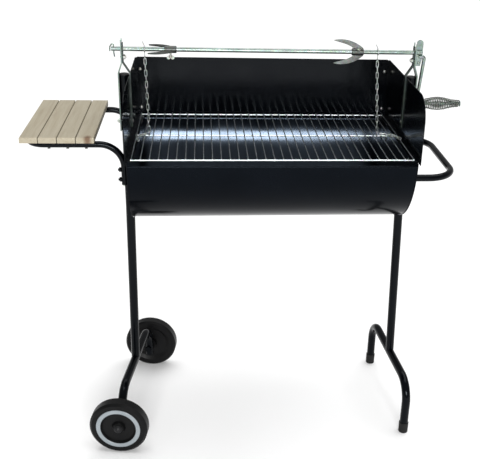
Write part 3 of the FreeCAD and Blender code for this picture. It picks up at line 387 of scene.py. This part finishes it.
def make_chain(side):
    """The hanging chain: links between the CAD chain's two ends, alternately crossed."""
    node = f"{side}_hanging_chain"
    low, high = (Vector(corner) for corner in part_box(node))
    width = LINK_HALF_WIDTH + LINK_WIRE
    pitch = LINK_INNER - LINK_PLAY
    count = round((high.z - low.z) / pitch)
    top, foot = Vector((low.x + width, 0, high.z)), Vector((high.x - width, 0, low.z))
    heading = (foot - top).normalized()
    wide = heading.cross(Vector((0, 1, 0))).normalized()
    middle = (top + foot) / 2

    def make(bm):
        for index in range(count):
            centre = middle + heading * (pitch * (index - (count - 1) / 2))
            across = wide if index % 2 == 0 else Vector((0, 1, 0))
            tube(bm, link_points(centre, heading, across), LINK_WIRE, closed=True)

    piece = mesh_piece(f"{side}_chain_links", make, MATERIALS["chain_steel"],
                       "frame")
    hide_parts(node)
    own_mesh(piece)


# -------------------------------------------------------------------------------- coil grip

COIL_WIRE = 0.0014
COIL_PITCH = 0.0047
COIL_TURN_STEPS = 26

# Outside radius of the grip at shares of its length, from the crank outwards
GRIP_PROFILE = ((0.0, 0.0120), (0.12, 0.0145), (0.26, 0.0170), (0.40, 0.0180), (0.55, 0.0166),
                (0.69, 0.0136), (0.81, 0.0112), (0.93, 0.0102), (1.0, 0.0100))


def grip_radius(share):
    """Outside radius of the grip at a share of its length."""
    for (start, first), (end, last) in zip(GRIP_PROFILE, GRIP_PROFILE[1:]):
        if share <= end:
            part = (share - start) / (end - start)
            smooth = part * part * (3 - 2 * part)
            return first + (last - first) * smooth
    return GRIP_PROFILE[-1][1]


def make_coil_grip():
    """The crank's grip: one wire wound along the closed solid that stands for it."""
    low, high = (Vector(corner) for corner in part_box("crank_grip"))
    axis_z = (low.z + high.z) / 2
    axis_y = (low.y + high.y) / 2
    start, end = low.x + COIL_WIRE, high.x - COIL_WIRE
    turns = (end - start) / COIL_PITCH
    steps = int(turns * COIL_TURN_STEPS)

    def make(bm):
        points = []
        for step in range(steps + 1):
            share = step / steps
            turn = 2 * math.pi * turns * share
            radius = grip_radius(share) - COIL_WIRE
            points.append(Vector((start + (end - start) * share, axis_y + radius * math.cos(turn),
                                  axis_z + radius * math.sin(turn))))
        tube(bm, points, COIL_WIRE)

    piece = mesh_piece("crank_grip_coil", make, MATERIALS["grip_spring"], "grip")
    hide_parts("crank_grip")


# ------------------------------------------------------------------------------------ studio

CAMERA_PLACE = (-0.1253, -2.0747, 1.4994)
CAMERA_YAW = 0.1135
CAMERA_PITCH = 0.4153
CAMERA_ROLL = 0.0373
CAMERA_LENS = 61.6
CAMERA_SHIFT = (-0.102, -0.011)
SENSOR_WIDTH = 36.0
FLOOR_HALF = 30.0
WORLD_STRENGTH = 0.44
CEILING_STRENGTH = 2.3


def make_camera():
    """The camera at the photograph's viewing angle."""
    data = bpy.data.cameras.new("studio_camera")
    data.sensor_width = SENSOR_WIDTH
    data.lens = CAMERA_LENS
    data.shift_x, data.shift_y = CAMERA_SHIFT
    camera = bpy.data.objects.new("studio_camera", data)
    scene.collection.objects.link(camera)
    ahead = Vector((math.sin(CAMERA_YAW) * math.cos(CAMERA_PITCH),
                    math.cos(CAMERA_YAW) * math.cos(CAMERA_PITCH), -math.sin(CAMERA_PITCH)))
    right = Vector((math.cos(CAMERA_YAW), -math.sin(CAMERA_YAW), 0))
    up = right.cross(ahead)
    across = right * math.cos(CAMERA_ROLL) + up * math.sin(CAMERA_ROLL)
    above = up * math.cos(CAMERA_ROLL) - right * math.sin(CAMERA_ROLL)
    rotation = Matrix((across, above, -ahead)).transposed()
    camera.matrix_world = Matrix.Translation(CAMERA_PLACE) @ rotation.to_4x4()
    scene.camera = camera


def add_softbox(name, place, target, size, power):
    """A rectangular area light at place, aimed at target."""
    data = bpy.data.lights.new(name, "AREA")
    data.shape = "RECTANGLE"
    data.size, data.size_y = size
    data.energy = power
    lamp = bpy.data.objects.new(name, data)
    scene.collection.objects.link(lamp)
    lamp.location = place
    aim = Vector(target) - Vector(place)
    lamp.rotation_euler = aim.to_track_quat("-Z", "Y").to_euler()


def make_floor():
    mesh = bpy.data.meshes.new("studio_floor")
    corners = [(-1, -1), (1, -1), (1, 1), (-1, 1)]
    mesh.from_pydata([(x * FLOOR_HALF, y * FLOOR_HALF, 0) for x, y in corners], [], [(0, 1, 2, 3)])
    mesh.materials.append(floor_paint())
    floor = bpy.data.objects.new("studio_floor", mesh)
    scene.collection.objects.link(floor)


def make_world():
    """Even white light from all around."""
    world = bpy.data.worlds.new("studio_world")
    world.use_nodes = True
    background = world.node_tree.nodes["Background"]
    background.inputs["Color"].default_value = (1.0, 1.0, 1.0, 1.0)
    background.inputs["Strength"].default_value = WORLD_STRENGTH
    scene.world = world


def add_ceiling():
    """Wide soft light from above, leaning a little to the front and the side."""
    sky = bpy.data.lights.new("ceiling", "SUN")
    sky.energy = CEILING_STRENGTH
    sky.angle = math.radians(60)
    ceiling = bpy.data.objects.new("ceiling", sky)
    scene.collection.objects.link(ceiling)
    ceiling.rotation_euler = (math.radians(-12), math.radians(8), 0)


def make_studio():
    make_floor()
    make_world()
    add_softbox("front_softbox", place=(0.1, -4.6, 1.95), target=(0, 0.2, 0.8),
                size=(2.1, 1.0), power=170)
    add_ceiling()
    scene.view_settings.view_transform = "Standard"


make_camera()
dress_cad_nodes()
for chain_side in ("left", "right"):
    make_chain(chain_side)
make_coil_grip()
make_studio()
